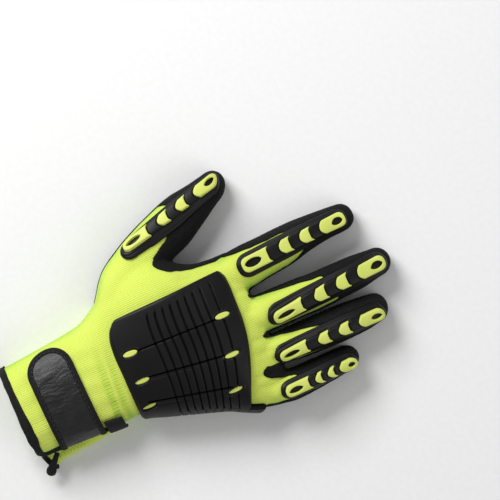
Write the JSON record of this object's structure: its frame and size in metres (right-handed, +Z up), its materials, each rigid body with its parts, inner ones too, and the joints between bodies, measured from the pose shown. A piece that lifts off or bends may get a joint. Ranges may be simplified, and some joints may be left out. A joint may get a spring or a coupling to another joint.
{
  "type": "metacarpal protection glove",
  "caption": "Right-hand knitted work glove with a coated palm, moulded guards on the back of the hand and digits, and a strap over its slit cuff.",
  "frame": {"origin": "middle of the palm's flat resting face, on the surface that the glove lies on", "axes": "+Y from the cuff to the fingertips, +Z up from the palm to the back of the hand, the thumb on the -X side"},
  "size_m": [0.154, 0.2521, 0.0441],
  "materials": {
    "knit": "fine ribbed hi-vis knit",
    "coating": "sandy matt nitrile",
    "guard": "satin moulded rubber",
    "accent": "satin moulded rubber",
    "leather": "soft gloss, wrinkled",
    "binding": "woven tape"
  },
  "bodies": {
    "root": {"cuff_binding": "binding", "index_guard_base": "guard", "index_pad_1": "accent", "index_pad_2": "accent", "index_pad_3": "accent", "index_pad_4": "accent", "knit_shell": "knit", "knuckle_guard": "guard", "knuckle_lens_1": "accent", "knuckle_lens_2": "accent", "knuckle_lens_3": "accent", "knuckle_lens_4": "accent", "knuckle_lens_5": "accent", "knuckle_lens_6": "accent", "little_guard_base": "guard", "little_pad_1": "accent", "little_pad_2": "accent", "little_pad_3": "accent", "little_pad_4": "accent", "middle_guard_base": "guard", "middle_pad_1": "accent", "middle_pad_2": "accent", "middle_pad_3": "accent", "middle_pad_4": "accent", "palm_coating": "coating", "ring_guard_base": "guard", "ring_pad_1": "accent", "ring_pad_2": "accent", "ring_pad_3": "accent", "ring_pad_4": "accent", "slit_tab": "binding", "thumb_guard_base": "guard", "thumb_pad_1": "accent", "thumb_pad_2": "accent", "thumb_pad_3": "accent", "thumb_pad_4": "accent", "wrist_strap": "leather"}
  },
  "joints": []
}
